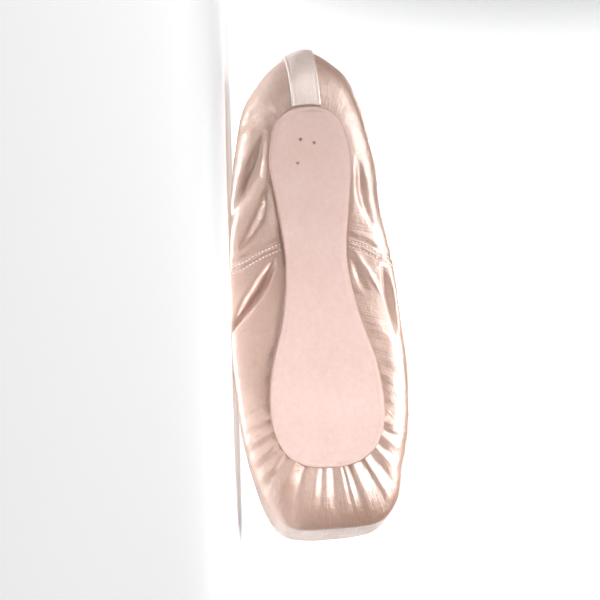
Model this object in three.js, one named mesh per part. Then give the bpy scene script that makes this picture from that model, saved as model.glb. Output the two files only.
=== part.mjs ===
// A satin pointe shoe, empty and unworn, lying on its left side: upper, outsole, insole, back-seam tape
// and the binding of its collar.
//
// The shoe is drawn in its own frame, in millimetres: x runs forward from the back of the heel, y to
// the shoe's left and z up from the ground plane of its sole. Every surface comes from one function,
// skin(), which follows ribs: each rib starts under the outsole, goes out and up round the last, and
// ends at the topline. The last group turns the finished shoe over onto its left flank.

import * as THREE from 'three';
import { mergeVertices } from 'three/addons/utils/BufferGeometryUtils.js';

// Driving sizes of the shoe
const LENGTH = 255;
const BALL_WIDTH = 89;
const INSTEP_HEIGHT = 50;
const HEEL_HEIGHT = 54;
const SIDE_DIP = 8.5; // how far the topline sinks between heel and instep
const WALL = 2; // satin, canvas and lining together
const BOX = { from: 178, to: 205, wall: 3 }; // the toe box, where paste and hessian stiffen the wall
const GAP = 0.3; // between neighbouring pieces

// Outsole and insole
const SOLE_THICKNESS = 1.9;
const SOLE_BEVEL = 0.6;
const LASTING_MARGIN = 8; // how far the upper is drawn in under the outsole
const ARCH = { from: 70, to: 148, lift: 4 };
const TOE_SPRING = { from: 190, to: 216, lift: 3 };
const INSOLE_THICKNESS = 1.2;
const INSOLE_OVERHANG = 1.5; // past the outsole's outline, on all sides

// Back-seam tape and collar binding
const TAPE_WIDTH = 15;
const TAPE_THICKNESS = 0.9;
const TAPE_START = 1.12; // how far up a rib it starts, just clear of the outsole's edge
const TAPE_DRIFT = 1.8; // how far it wanders to the left on its way up
const BINDING_HEIGHT = 4.6;
const BINDING_PROUD = 0.3;
const BINDING_SHOULDER = { drop: 1.6, ease: 0.5 }; // rounding of its folded edge

// The upper's slight bow over its straight sole: how far it stands to the left at places x
const SWAY = {
  x: [0, 10, 28, 62, 84, 145, 178, 212, 238],
  left: [-2.4, -1.8, 0, 0.4, 1.6, 1.4, 0.4, 0, -1.8],
};

// The left flank lies on the floor. This plane leans inward going up and turns with the flank.
const FLOOR = { lean: 9, turn: 2.2, reach: 40.8 };

// The ribs of one side, from the middle of the heel to the middle of the toe. Columns named X are
// percent of the length, Half percent of half the ball width, Z and rise percent of the instep height,
// lean is the flank's slope in degrees, positive outward, dip is percent of SIDE_DIP and under is the
// roundness of the underside.
const RIB_COLUMNS = [
  'soleX', 'soleHalf', 'girthX', 'girthHalf', 'girthZ', 'lean', 'rise', 'topX', 'topHalf', 'dip', 'under',
];
const RIB_TABLE = {
  heelBack: [12.4, 0, 0, 0, 34, -2, 30, 1.6, 0, 0, 2.0],
  heelBend: [12.9, 20.2, 1.8, 25.8, 34, -2, 30, 2.9, 21.3, 2, 2.0],
  heelSide: [14.7, 34.2, 5.7, 51.2, 35, -2, 28, 6.5, 42.2, 10, 1.9],
  quarterBack: [17.8, 41.8, 12.9, 71.0, 35, -4, 28, 13.3, 60.5, 35, 1.9],
  quarter: [23.9, 46.3, 23.5, 85.5, 32, -6, 32, 22.4, 72.0, 65, 1.9],
  quarterFront: [32.9, 40.2, 34.5, 89.5, 29, -6, 34, 31.4, 76.5, 90, 2.0],
  waist: [43.1, 35.0, 45.5, 95.5, 26, -6, 34, 40.4, 79.5, 100, 2.1],
  jointBack: [53.7, 42.5, 56.5, 99.1, 22, -6, 32, 48.6, 78.0, 92, 2.2],
  joint: [63.9, 59.3, 67.0, 100, 20, -6, 26, 55.7, 71.5, 68, 2.3],
  jointFront: [72.2, 65.0, 77.3, 95.5, 21, -4, 23, 61.2, 60.0, 38, 2.3],
  boxSide: [77.6, 61.6, 85.3, 86.0, 25, 0, 25, 64.9, 44.5, 16, 2.2],
  boxCorner: [81.6, 49.4, 92.4, 73.0, 26, 8, 34, 67.3, 28.5, 5, 2.3],
  platformSide: [83.9, 28.0, 96.4, 49.0, 27, 14, 41, 68.6, 13.5, 0, 2.3],
  platform: [84.5, 0, 97.0, 0, 27, 16, 43, 69.0, 0, 0, 2.3],
};
const RIB_ROWS = Object.values(RIB_TABLE);
const LAST_ROW = RIB_ROWS.length - 1;
const SHOULDER_REACH = 0.45; // height of the shoulder's corner, between flank and topline
const SHOULDER_ROUND = 2.3;

// Steps of the mesh: between two rows of the table, and along a rib's four stretches
const STEPS_PER_ROW = 4;
const MARGIN_STEPS = 1;
const UNDER_STEPS = 6;
const FLANK_STEPS = 3;
const SHOULDER_STEPS = 7;
const RIB_COUNT = 2 * LAST_ROW * STEPS_PER_ROW;
const HEEL_ROWS = 3; // rows on each side of the heel's middle between which the tape lies
const HALVINGS = 30; // enough to find a place between them to a thousandth of a millimetre

// One column of the table at place t, counted in rows from the middle of the heel: forward along the
// left side to the toe and back along the right side. Widths change sign across the middle.
function column(name, t) {
  const index = RIB_COLUMNS.indexOf(name);
  const isWidth = name.endsWith('Half');
  const at = (row) => {
    const folded = ((row % (2 * LAST_ROW)) + 2 * LAST_ROW) % (2 * LAST_ROW);
    const onRight = folded > LAST_ROW;
    const value = RIB_ROWS[onRight ? 2 * LAST_ROW - folded : folded][index];
    return onRight && isWidth ? -value : value;
  };
  const row = Math.floor(t);
  const u = t - row;
  const [a, b, c, d] = [at(row - 1), at(row), at(row + 1), at(row + 2)];
  return b + (u * (c - a + u * (2 * a - 5 * b + 4 * c - d + u * (3 * (b - c) + d - a)))) / 2;
}

const lengthAt = (name, t) => (column(name, t) * LENGTH) / 100;
const halfAt = (name, t) => (column(name, t) * BALL_WIDTH) / 200;
const heightAt = (name, t) => (column(name, t) * INSTEP_HEIGHT) / 100;

// Height of the outsole's underside: flat under heel and ball, lifted at the waist and at the toe
function soleHeight(x) {
  const along = THREE.MathUtils.clamp((x - ARCH.from) / (ARCH.to - ARCH.from), 0, 1);
  const spring = Math.max(0, (x - TOE_SPRING.from) / (TOE_SPRING.to - TOE_SPRING.from));
  return ARCH.lift * Math.sin(Math.PI * along) ** 2 + TOE_SPRING.lift * spring ** 2;
}

const seatHeight = (x) => soleHeight(x) + SOLE_THICKNESS + GAP;
const wallAt = (x) => WALL + (BOX.wall - WALL) * THREE.MathUtils.smoothstep(x, BOX.from, BOX.to);

// The outline of the outsole in plan, moved outward by grow
function soleEdge(t, grow, z) {
  const here = new THREE.Vector2(lengthAt('soleX', t), halfAt('soleHalf', t));
  const next = new THREE.Vector2(lengthAt('soleX', t + 0.01), halfAt('soleHalf', t + 0.01));
  const ahead = next.sub(here).normalize();
  const x = here.x - ahead.y * grow;
  return new THREE.Vector3(x, here.y + ahead.x * grow, z(x));
}

// A quarter of a superellipse from start to end, rounding off their common corner
function quarter(start, corner, end, u, roundness) {
  const angle = (u * Math.PI) / 2;
  const leave = 1 - Math.sin(angle) ** (2 / roundness);
  const arrive = 1 - Math.cos(angle) ** (2 / roundness);
  return corner
    .clone()
    .addScaledVector(start.clone().sub(corner), leave)
    .addScaledVector(end.clone().sub(corner), arrive);
}

// How far the upper stands to the left at x, by smooth steps between the places of SWAY
function sway(x) {
  const next = SWAY.x.findIndex((place) => place > x);
  if (next <= 0) return SWAY.left.at(next === 0 ? 0 : -1);
  const share = THREE.MathUtils.smoothstep(x, SWAY.x[next - 1], SWAY.x[next]);
  return THREE.MathUtils.lerp(SWAY.left[next - 1], SWAY.left[next], share);
}

// The points that steer the rib at place t
function ribPoints(t) {
  const edge = soleEdge(t, 0, seatHeight);
  const girthX = lengthAt('girthX', t);
  const girth = new THREE.Vector3(girthX, halfAt('girthHalf', t) + sway(girthX), heightAt('girthZ', t));
  const lean = Math.tan(THREE.MathUtils.degToRad(column('lean', t)));
  const climb = new THREE.Vector3(girth.x - edge.x, girth.y - edge.y, 0).setLength(lean);
  climb.multiplyScalar(Math.sign(lean)).setZ(1);
  const shoulder = girth.clone().addScaledVector(climb, heightAt('rise', t));
  const topX = lengthAt('topX', t);
  const topZ = THREE.MathUtils.mapLinear(topX, 0, lengthAt('topX', LAST_ROW), HEEL_HEIGHT, INSTEP_HEIGHT);
  const topY = halfAt('topHalf', t) + sway(topX);
  const top = new THREE.Vector3(topX, topY, topZ - (SIDE_DIP * column('dip', t)) / 100);
  return {
    margin: soleEdge(t, -LASTING_MARGIN, seatHeight),
    edge,
    heel: girth.clone().addScaledVector(climb, edge.z - girth.z),
    girth,
    shoulder,
    corner: shoulder.clone().addScaledVector(climb, (top.z - shoulder.z) * SHOULDER_REACH),
    top,
  };
}

// A point of the rib at place t: s runs 0 to 1 under the outsole, to 2 round the underside, to 3 up the
// flank and to 4 over the shoulder to the topline
function ribPoint(t, s) {
  const rib = ribPoints(t);
  if (s < 1) return rib.margin.lerp(rib.edge, s);
  if (s < 2) return quarter(rib.edge, rib.heel, rib.girth, s - 1, column('under', t));
  if (s < 3) return rib.girth.lerp(rib.shoulder, s - 2);
  return quarter(rib.shoulder, rib.corner, rib.top, s - 3, SHOULDER_ROUND);
}

// The direction out of the shoe at a point of a rib
function outward(t, s) {
  const nudge = 0.02;
  const around = ribPoint(t + nudge, s).sub(ribPoint(t - nudge, s));
  const up = ribPoint(t, Math.min(s + nudge, 4)).sub(ribPoint(t, Math.max(s - nudge, 0)));
  return around.cross(up).normalize().negate();
}

// The plane of the floor in the shoe's own frame, and the three directions of the shoe as it lies
const floorLean = THREE.MathUtils.degToRad(FLOOR.lean);
const floorTurn = THREE.MathUtils.degToRad(FLOOR.turn);
const FLOOR_NORMAL = new THREE.Vector3(-Math.sin(floorTurn), Math.cos(floorTurn) * Math.cos(floorLean),
  Math.cos(floorTurn) * Math.sin(floorLean));

// The upper's surface at a distance from the last, pressed flat where the left flank lies on the floor
function skin(t, s, offset) {
  const point = ribPoint(t, s).addScaledVector(outward(t, s), offset);
  const past = point.dot(FLOOR_NORMAL) - FLOOR.reach - Math.min(offset, 0);
  return past > 0 ? point.addScaledVector(FLOOR_NORMAL, -past) : point;
}

// Closed loops of the same number of points, stitched one to the next. A ring comes back to its first
// loop. A bar ends in two caps, each stitched across the loop.
function stitch(loops, isRing) {
  const count = loops[0].length;
  const positions = loops.flat().flatMap((point) => point.toArray());
  const triangles = [];
  const quad = (a, b, c, d) => triangles.push(a, c, b, a, d, c);
  const spans = isRing ? loops.length : loops.length - 1;
  for (let i = 0; i < spans; i++) {
    const low = i * count;
    const high = ((i + 1) % loops.length) * count;
    for (let j = 0; j < count; j++) {
      const next = (j + 1) % count;
      quad(low + j, low + next, high + next, high + j);
    }
  }
  if (!isRing) {
    const lastLoop = (loops.length - 1) * count;
    for (let j = 0; j < count / 2 - 1; j++) {
      quad(count - 1 - j, count - 2 - j, j + 1, j);
      quad(lastLoop + j, lastLoop + j + 1, lastLoop + count - 2 - j, lastLoop + count - 1 - j);
    }
  }
  const geometry = new THREE.BufferGeometry();
  geometry.setAttribute('position', new THREE.Float32BufferAttribute(positions, 3));
  geometry.setIndex(triangles);
  const merged = mergeVertices(geometry, 1e-4);
  merged.computeVertexNormals();
  return merged;
}

const RIB_PLACES = Array.from({ length: RIB_COUNT }, (_, i) => (i + 0.5) / STEPS_PER_ROW);
const loopOf = (point) => RIB_PLACES.map(point);

// The places along a rib where the mesh has a row of points
function ribSteps() {
  const stretches = [MARGIN_STEPS, UNDER_STEPS, FLANK_STEPS, SHOULDER_STEPS];
  const steps = stretches.flatMap((count, stretch) =>
    Array.from({ length: count }, (_, i) => stretch + i / count));
  return [...steps, stretches.length];
}

function makeUpper() {
  const outside = ribSteps().map((s) => loopOf((t) => skin(t, s, 0)));
  const inside = ribSteps().reverse().map((s) => loopOf((t) => skin(t, s, -wallAt(ribPoint(t, s).x))));
  return stitch([...outside, ...inside], true);
}

function makeOutsole() {
  const bottom = loopOf((t) => soleEdge(t, -SOLE_BEVEL, soleHeight));
  const bevel = loopOf((t) => soleEdge(t, 0, (x) => soleHeight(x) + SOLE_BEVEL));
  const top = loopOf((t) => soleEdge(t, 0, (x) => soleHeight(x) + SOLE_THICKNESS));
  return stitch([bottom, bevel, top], false);
}

function makeInsole() {
  const under = (x) => seatHeight(x) + wallAt(x) + GAP;
  const bottom = loopOf((t) => soleEdge(t, INSOLE_OVERHANG, under));
  const top = loopOf((t) => soleEdge(t, INSOLE_OVERHANG, (x) => under(x) + INSOLE_THICKNESS));
  return stitch([bottom, top], false);
}

// Place around the heel where the skin is y to the left of the middle
function placeAcross(s, y) {
  let [low, high] = [-HEEL_ROWS, HEEL_ROWS];
  for (let i = 0; i < HALVINGS; i++) {
    const middle = (low + high) / 2;
    if (ribPoint(middle, s).y < y) low = middle;
    else high = middle;
  }
  return low;
}

function makeHeelTape() {
  const across = [-0.5, -0.25, 0, 0.25, 0.5].map((fraction) => fraction * TAPE_WIDTH);
  const steps = ribSteps().filter((s) => s > 1);
  const loops = [TAPE_START, ...steps].map((s) => {
    const drift = TAPE_DRIFT * THREE.MathUtils.smoothstep(s, 1, 3);
    const places = across.map((y) => placeAcross(s, y + drift));
    const under = places.map((t) => skin(t, s, GAP));
    const over = places.map((t) => skin(t, s, GAP + TAPE_THICKNESS));
    return [...over, ...under.reverse()];
  });
  return stitch(loops, false);
}

function makeBinding() {
  const out = BINDING_PROUD;
  const inner = -WALL - BINDING_PROUD;
  const middle = -WALL / 2;
  const high = BINDING_HEIGHT;
  const { drop, ease } = BINDING_SHOULDER;
  // up along the rib from the topline, and out from the skin
  const profile = [
    { up: GAP, out },
    { up: high - drop, out },
    { up: high - ease, out: out - ease },
    { up: high, out: middle },
    { up: high - ease, out: inner + ease }, { up: high - drop, out: inner }, { up: GAP, out: inner },
  ];
  const loops = profile.map((corner) => loopOf((t) => {
    const along = ribPoint(t, 4).sub(ribPoint(t, 3.9)).normalize();
    return skin(t, 4, corner.out).addScaledVector(along, corner.up);
  }));
  return stitch(loops, true);
}

function makeMesh(name, geometry, color, roughness) {
  const material = new THREE.MeshStandardMaterial({ color, roughness, metalness: 0 });
  const mesh = new THREE.Mesh(geometry, material);
  mesh.name = name;
  return mesh;
}

const SATIN = '#e9cfc4';
const shoe = new THREE.Group();
shoe.add(
  makeMesh('upper', makeUpper(), SATIN, 0.4),
  makeMesh('outsole', makeOutsole(), '#f0cdbf', 0.75),
  makeMesh('insole', makeInsole(), '#ead9cc', 0.85),
  makeMesh('heel_tape', makeHeelTape(), SATIN, 0.45),
  makeMesh('collar_binding', makeBinding(), SATIN, 0.5),
);

// Laid down: the flank's plane faces the floor, the toe points along +X and the sole faces -Y
const up = FLOOR_NORMAL.clone().negate();
const toe = new THREE.Vector3(1, 0, 0).addScaledVector(up, -up.x).normalize();
const laid = new THREE.Matrix4().makeBasis(toe, up.clone().cross(toe), up).transpose();
shoe.quaternion.setFromRotationMatrix(laid);
shoe.updateMatrixWorld(true);
const box = new THREE.Box3().setFromObject(shoe, true);
const middle = box.getCenter(new THREE.Vector3());
shoe.position.set(-middle.x, -middle.y, -box.min.z);

const part = new THREE.Group();
part.add(shoe);

export default part;
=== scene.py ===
"""The looks of a satin pointe shoe that lies on its left side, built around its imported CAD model.

The shoe is drawn in its own frame, in millimetres: x runs forward from the back of the heel, y to the
shoe's left and z up from the ground plane of its sole. Every skin follows the ribs of the last: t counts
the rows of RIB_TABLE round the shoe and s runs along a rib, 0 to 1 under the outsole, to 2 round the
underside, to 3 up the flank and to 4 over the shoulder to the topline. to_frame() lays the shoe down and
puts it where the CAD outsole is.
"""

import math

import bpy
import numpy as np
from mathutils import Matrix, Vector


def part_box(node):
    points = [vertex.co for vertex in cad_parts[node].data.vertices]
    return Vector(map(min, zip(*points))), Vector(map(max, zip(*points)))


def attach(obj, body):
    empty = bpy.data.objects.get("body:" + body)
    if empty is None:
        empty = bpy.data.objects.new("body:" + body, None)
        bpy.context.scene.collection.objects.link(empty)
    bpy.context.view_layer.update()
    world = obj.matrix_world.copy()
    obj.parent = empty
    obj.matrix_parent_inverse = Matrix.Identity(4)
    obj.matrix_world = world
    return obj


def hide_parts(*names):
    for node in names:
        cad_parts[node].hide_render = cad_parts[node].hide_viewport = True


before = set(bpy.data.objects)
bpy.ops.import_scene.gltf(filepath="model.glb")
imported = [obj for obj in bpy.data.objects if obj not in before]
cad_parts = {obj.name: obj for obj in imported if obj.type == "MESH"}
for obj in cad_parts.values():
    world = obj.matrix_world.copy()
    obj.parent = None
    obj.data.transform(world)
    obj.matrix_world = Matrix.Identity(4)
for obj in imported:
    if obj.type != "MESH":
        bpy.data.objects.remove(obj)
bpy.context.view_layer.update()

# Driving sizes of the shoe, as in the CAD model
LENGTH = 255
BALL_WIDTH = 89
INSTEP_HEIGHT = 50
HEEL_HEIGHT = 54
SIDE_DIP = 8.5
WALL = 2
BOX_FROM, BOX_TO, BOX_WALL = 178, 205, 3
GAP = 0.3
SOLE_THICKNESS = 1.9
ARCH_FROM, ARCH_TO, ARCH_LIFT = 70, 148, 4
SPRING_FROM, SPRING_TO, SPRING_LIFT = 190, 216, 3
INSOLE_THICKNESS = 1.2
INSOLE_OVERHANG = 1.5
LASTING_MARGIN = 8
TAPE_WIDTH = 15
TAPE_THICKNESS = 0.9
TAPE_START = 1.03
TAPE_DRIFT = 1.8
BINDING_HEIGHT = 4.6
SWAY_X = (0, 10, 28, 62, 84, 145, 178, 212, 238)
SWAY_LEFT = (-2.4, -1.8, 0, 0.4, 1.6, 1.4, 0.4, 0, -1.8)
FLOOR_LEAN, FLOOR_TURN, FLOOR_REACH = math.radians(9), math.radians(2.2), 40.8
SHOULDER_REACH = 0.45
SHOULDER_ROUND = 2.3

# The ribs of one side, from the middle of the heel to the middle of the toe, as in the CAD model:
# columns named X are percent of the length, Half percent of half the ball width, Z and rise percent of the
# instep height, lean is in degrees, dip percent of SIDE_DIP and under the roundness of the underside
RIB_COLUMNS = "soleX soleHalf girthX girthHalf girthZ lean rise topX topHalf dip under".split()
RIB_TABLE = {
    "heelBack": (12.4, 0, 0, 0, 34, -2, 30, 1.6, 0, 0, 2.0),
    "heelBend": (12.9, 20.2, 1.8, 25.8, 34, -2, 30, 2.9, 21.3, 2, 2.0),
    "heelSide": (14.7, 34.2, 5.7, 51.2, 35, -2, 28, 6.5, 42.2, 10, 1.9),
    "quarterBack": (17.8, 41.8, 12.9, 71.0, 35, -4, 28, 13.3, 60.5, 35, 1.9),
    "quarter": (23.9, 46.3, 23.5, 85.5, 32, -6, 32, 22.4, 72.0, 65, 1.9),
    "quarterFront": (32.9, 40.2, 34.5, 89.5, 29, -6, 34, 31.4, 76.5, 90, 2.0),
    "waist": (43.1, 35.0, 45.5, 95.5, 26, -6, 34, 40.4, 79.5, 100, 2.1),
    "jointBack": (53.7, 42.5, 56.5, 99.1, 22, -6, 32, 48.6, 78.0, 92, 2.2),
    "joint": (63.9, 59.3, 67.0, 100, 20, -6, 26, 55.7, 71.5, 68, 2.3),
    "jointFront": (72.2, 65.0, 77.3, 95.5, 21, -4, 23, 61.2, 60.0, 38, 2.3),
    "boxSide": (77.6, 61.6, 85.3, 86.0, 25, 0, 25, 64.9, 44.5, 16, 2.2),
    "boxCorner": (81.6, 49.4, 92.4, 73.0, 26, 8, 34, 67.3, 28.5, 5, 2.3),
    "platformSide": (83.9, 28.0, 96.4, 49.0, 27, 14, 41, 68.6, 13.5, 0, 2.3),
    "platform": (84.5, 0, 97.0, 0, 27, 16, 43, 69.0, 0, 0, 2.3),
}
RIB_ROWS = np.array(list(RIB_TABLE.values()), float)
LAST_ROW = len(RIB_ROWS) - 1
AROUND = 2 * LAST_ROW  # rows all the way round the shoe


# ---- the last ------------------------------------------------------------------------------------


def smooth(x, low, high):
    """0 below low, 1 above high and a soft step between."""
    u = np.clip((np.asarray(x, float) - low) / (high - low), 0, 1)
    return u * u * (3 - 2 * u)


def unit(v):
    return v / np.maximum(np.linalg.norm(v, axis=-1, keepdims=True), 1e-9)


def dot(a, b):
    return np.sum(a * b, axis=-1)


def column(name, t):
    """A column of the rib table at places t, forward along the left side and back along the right."""
    index = RIB_COLUMNS.index(name)
    row = np.floor(t).astype(int)
    u = t - row

    def at(place):
        folded = place % AROUND
        on_right = folded > LAST_ROW
        value = RIB_ROWS[np.where(on_right, AROUND - folded, folded), index]
        return np.where(on_right, -value, value) if name.endswith("Half") else value

    a, b, c, d = (at(row + k) for k in (-1, 0, 1, 2))
    return b + u * (c - a + u * (2 * a - 5 * b + 4 * c - d + u * (3 * (b - c) + d - a))) / 2


def sole_height(x):
    along = np.clip((x - ARCH_FROM) / (ARCH_TO - ARCH_FROM), 0, 1)
    spring = np.maximum(0, (x - SPRING_FROM) / (SPRING_TO - SPRING_FROM))
    return ARCH_LIFT * np.sin(np.pi * along) ** 2 + SPRING_LIFT * spring**2


def seat_height(x):
    return sole_height(x) + SOLE_THICKNESS + GAP


def wall_at(x):
    return WALL + (BOX_WALL - WALL) * smooth(x, BOX_FROM, BOX_TO)


def sole_plan(t):
    return np.stack([column("soleX", t) * LENGTH / 100, column("soleHalf", t) * BALL_WIDTH / 200], -1)


def sole_edge(t, grow, height):
    """The outsole's outline, moved outward by grow, at the height that the function height gives."""
    here = sole_plan(t)
    ahead = unit(sole_plan(t + 0.01) - here)
    x = here[..., 0] - ahead[..., 1] * grow
    y = here[..., 1] + ahead[..., 0] * grow
    return np.stack([x, y, height(x)], -1)


def quarter(start, corner, end, u, roundness):
    """A quarter of a superellipse from start to end, rounding off their common corner."""
    angle = np.clip(u, 0, 1) * np.pi / 2
    leave = (1 - np.sin(angle) ** (2 / roundness))[..., None]
    arrive = (1 - np.cos(angle) ** (2 / roundness))[..., None]
    return corner + (start - corner) * leave + (end - corner) * arrive


def sway(x):
    """How far the upper stands to the left of its straight sole at x."""
    share = np.interp(x, SWAY_X, np.arange(len(SWAY_X)))
    row = np.minimum(share.astype(int), len(SWAY_X) - 2)
    low, high = np.array(SWAY_LEFT)[row], np.array(SWAY_LEFT)[row + 1]
    return low + (high - low) * smooth(share - row, 0, 1)


def rib_point(t, s):
    """Points of the last at places t and s, two arrays of one shape."""
    edge = sole_edge(t, 0, seat_height)
    girth_x = column("girthX", t) * LENGTH / 100
    girth = np.stack([girth_x, column("girthHalf", t) * BALL_WIDTH / 200 + sway(girth_x),
                      column("girthZ", t) * INSTEP_HEIGHT / 100], -1)
    lean = np.tan(np.radians(column("lean", t)))[..., None]
    climb = np.concatenate([unit(girth[..., :2] - edge[..., :2]) * lean, np.ones_like(lean)], -1)
    shoulder = girth + climb * (column("rise", t) * INSTEP_HEIGHT / 100)[..., None]
    top_x = column("topX", t) * LENGTH / 100
    throat_x = RIB_TABLE["platform"][RIB_COLUMNS.index("topX")] * LENGTH / 100
    dip = SIDE_DIP * column("dip", t) / 100
    top_z = HEEL_HEIGHT + (INSTEP_HEIGHT - HEEL_HEIGHT) * top_x / throat_x - dip
    top = np.stack([top_x, column("topHalf", t) * BALL_WIDTH / 200 + sway(top_x), top_z], -1)
    margin = sole_edge(t, -LASTING_MARGIN, seat_height)
    heel = girth + climb * (edge[..., 2] - girth[..., 2])[..., None]
    corner = shoulder + climb * ((top[..., 2] - shoulder[..., 2]) * SHOULDER_REACH)[..., None]
    stretch = s[..., None]
    points = margin + (edge - margin) * stretch
    points = np.where(stretch >= 1, quarter(edge, heel, girth, s - 1, column("under", t)), points)
    points = np.where(stretch >= 2, girth + (shoulder - girth) * (stretch - 2), points)
    over = quarter(shoulder, corner, top, s - 3, np.full_like(s, SHOULDER_ROUND))
    return np.where(stretch >= 3, over, points)


def outward(t, s):
    nudge = 0.02
    around = rib_point(t + nudge, s) - rib_point(t - nudge, s)
    up = rib_point(t, np.minimum(s + nudge, 4)) - rib_point(t, np.maximum(s - nudge, 0))
    return -unit(np.cross(around, up))


FLOOR_NORMAL = np.array([-math.sin(FLOOR_TURN), math.cos(FLOOR_TURN) * math.cos(FLOOR_LEAN),
                         math.cos(FLOOR_TURN) * math.sin(FLOOR_LEAN)])


def pressed(points, offset):
    """Points at a distance from the last, pressed flat where the left flank lies on the floor."""
    past = points @ FLOOR_NORMAL - FLOOR_REACH - np.minimum(offset, 0)
    return points - FLOOR_NORMAL * np.maximum(past, 0)[..., None]


# ---- folds, pleats and seams of the satin --------------------------------------------------------

LATTICE = np.random.default_rng(11).uniform(-1, 1, (64, 64))


def mottle(x, y):
    """Smooth noise between -1 and 1, about one bump to each unit of x and y."""
    i, j = np.floor(x).astype(int), np.floor(y).astype(int)
    u, v = x - i, y - j
    u, v = u * u * (3 - 2 * u), v * v * (3 - 2 * v)

    def at(a, b):
        return LATTICE[(i + a) % 64, (j + b) % 64]

    return (at(0, 0) * (1 - u) + at(1, 0) * u) * (1 - v) + (at(0, 1) * (1 - u) + at(1, 1) * u) * v


# Main creases and folds, each a soft trough, or a ridge where depth is negative, along a path of places
# (t, s) on the last. depth is in mm; behind and ahead are the half widths in mm of its slopes, to the right
# and to the left of somebody who walks the path on the outside of the shoe.
CREASES = {
    "left_deep": dict(
        path=[(5.85, 1.1), (6.1, 1.17), (6.35, 1.26), (6.6, 1.42), (6.85, 1.66), (7.15, 2.2)],
        depth=6.0, behind=3.0, ahead=1.7),
    "left_rim": dict(
        path=[(6.2, 2.2), (6.6, 2.3), (6.95, 2.15)],
        depth=2.8, behind=2.2, ahead=1.3),
    "left_quarter_back": dict(
        path=[(3.0, 1.15), (3.6, 1.2), (4.1, 1.34), (4.6, 1.58), (5.1, 2.2)],
        depth=3.6, behind=3.6, ahead=6.4),
    "left_quarter_front": dict(
        path=[(4.3, 1.06), (4.8, 1.1), (5.15, 1.22), (5.4, 1.42), (5.62, 1.7)],
        depth=3.0, behind=3.6, ahead=6.4),
    "left_heel": dict(
        path=[(2.0, 1.1), (2.5, 1.36), (3.0, 1.6), (3.5, 2.0)],
        depth=1.6, behind=3.6, ahead=4.6),
    "right_deep": dict(
        path=[(20.05, 1.5), (19.6, 1.54), (19.2, 1.56), (18.7, 1.57)],
        depth=4.0, behind=1.6, ahead=3.4),
    "right_ridge": dict(
        path=[(20.3, 1.08), (20.0, 1.18), (19.7, 1.3), (19.35, 1.42)],
        depth=-0.9, behind=0.9, ahead=1.8),
    "right_below": dict(
        path=[(20.1, 1.04), (19.75, 1.1), (19.35, 1.2)],
        depth=1.3, behind=2.6, ahead=3.2),
    "right_quarter": dict(
        path=[(22.3, 1.1), (21.7, 1.16), (21.2, 1.26), (20.7, 1.42)],
        depth=2.0, behind=2.6, ahead=3.6),
    "right_hollow": dict(
        path=[(23.2, 2.0), (22.2, 2.2), (21.2, 2.3), (20.4, 2.3)],
        depth=2.0, behind=14, ahead=14),
}
INNER_SLACK = 2.5  # how much wider in mm the layers under the satin bend round a crease
SOLE_CLEARANCE = (1.0, 6.5)  # distances in mm from the sole over which the creases begin


def polyline(path, steps=10):
    """The path's places joined by a smooth curve, as points of the last."""
    places = np.array(path, float)
    knots = np.arange(len(places))
    along = np.linspace(0, knots[-1], steps * knots[-1] + 1)
    t = np.interp(along, knots, places[:, 0])
    s = np.interp(along, knots, places[:, 1])
    for _ in range(steps):
        t[1:-1] = (t[:-2] + 2 * t[1:-1] + t[2:]) / 4
        s[1:-1] = (s[:-2] + 2 * s[1:-1] + s[2:]) / 4
    return rib_point(t, s)


def crease_height(points, normals, slack, path, depth, behind, ahead):
    """The height of one crease at points, by their distance from its path and the side they are on."""
    line = polyline(path)
    reach = 4 * max(behind, ahead) + slack
    height = np.zeros(points.shape[:-1])
    near = np.all((points > line.min(0) - reach) & (points < line.max(0) + reach), axis=-1)
    spots, facing = points[near], normals[near]
    if not len(spots):
        return height
    nearest = np.full(len(spots), 1e9)
    side = np.zeros(len(spots))
    share = np.zeros(len(spots))
    for k in range(len(line) - 1):
        way = line[k + 1] - line[k]
        u = np.clip((spots - line[k]) @ way / (way @ way), 0, 1)
        off = spots - line[k] - u[:, None] * way
        distance = np.linalg.norm(off, axis=1)
        closer = distance < nearest
        nearest = np.where(closer, distance, nearest)
        side = np.where(closer, np.sign(dot(off, np.cross(facing, unit(way)))), side)
        share = np.where(closer, (k + u) / (len(line) - 1), share)
    taper = np.sin(np.pi * share) ** 1.2
    width = np.where(side > 0, ahead, behind) * (0.4 + 0.6 * taper) + slack
    height[near] = -depth * np.exp(-((nearest / width) ** 2)) * taper
    return height


# The pleats round the toe: crests and valleys by their bearing in degrees from the centre of the fan, to
# the shoe's right, and their height as a share of PLEAT_RISE
PLEAT_CENTRE = 180.0
PLEATS = {
    -80: 0.0, -73: 0.5, -69: 0.05, -62: 0.7, -58: 0.1, -52: 0.8, -47: 0.2, -42: 0.9, -38: 0.1, -31: 1.3,
    -21: 0.0, -18: 0.7, -10: 0.9, -7: 0.3, -3.5: 0.9, 1: 0.1, 8: 0.8, 10: 0.4, 11.5: 1.0, 15: 0.1,
    18: 1.25, 27: 0.1, 28.5: 1.1, 35: 0.1, 41: 0.9, 45: 0.2, 52: 0.8, 57: 0.1, 64: 0.7, 69: 0.1, 75: 0.5,
    80: 0.0,
}
PLEAT_REACH = 29.0  # mm from the sole's edge to the ends of the pleats
PLEAT_RISE = 2.9  # mm
PLEAT_SOFTNESS = 0.7  # degrees
PLEATS_BEGIN = (178, 188)  # x in mm
EDGE_ROLL = 0.45  # mm over which the satin rises from under the sole's edge


def distance_from_sole(t, points):
    return np.linalg.norm(points - sole_edge(t, 0, seat_height), axis=-1)


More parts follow.
